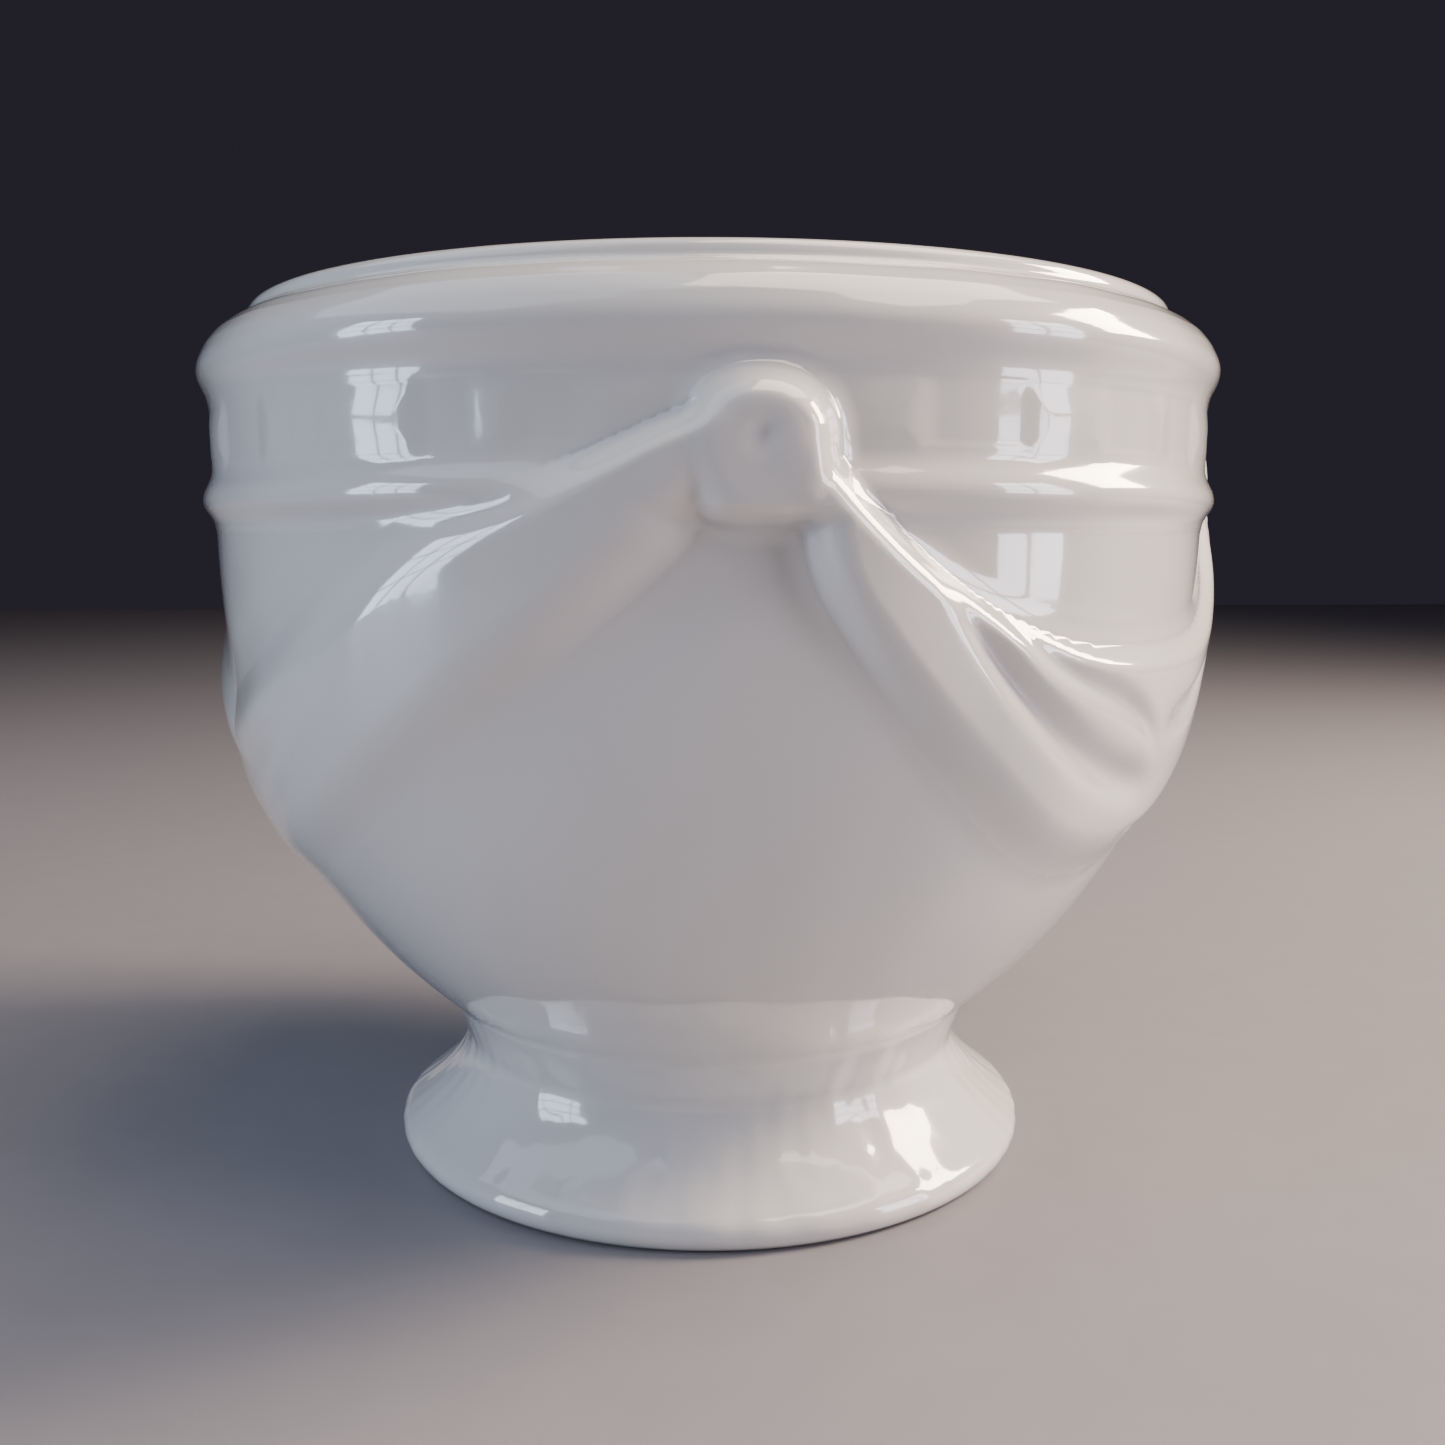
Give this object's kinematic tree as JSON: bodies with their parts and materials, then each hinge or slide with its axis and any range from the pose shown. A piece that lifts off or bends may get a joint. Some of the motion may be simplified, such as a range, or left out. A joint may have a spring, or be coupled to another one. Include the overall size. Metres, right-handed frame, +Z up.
{
  "type": "punch bowl",
  "caption": "Footed round punch bowl in white glazed ceramic, with two beads, a panelled frieze and swags draped between knots.",
  "frame": {"origin": "centre of the ring that the foot stands on", "axes": "+Z up along the bowl's axis, the front knot faces -Y, the right knot faces +X"},
  "size_m": [0.266, 0.266, 0.218],
  "materials": {
    "glaze_body": "white gloss glaze on the bowl wall and rim",
    "glaze_foot": "white gloss glaze, slightly uneven, on the neck and foot",
    "glaze_edge": "white gloss glaze, wiped back to bare clay where it stands",
    "glaze_trim": "white gloss glaze, thinner on the crests of the beads and panels",
    "glaze_relief": "white gloss glaze pooled softly in the folds"
  },
  "bodies": {
    "root": {"bowl_shell": "glaze_body", "neck_collar": "glaze_foot", "pedestal_foot": "glaze_foot", "foot_edge": "glaze_edge", "lower_bead": "glaze_trim", "upper_bead": "glaze_trim", "rim_collar": "glaze_body", "frieze_panels": "glaze_trim", "knot_front": "glaze_relief", "knot_right": "glaze_relief", "knot_left": "glaze_relief", "swag_right": "glaze_relief", "swag_left": "glaze_relief", "swag_back": "glaze_relief"}
  },
  "joints": []
}
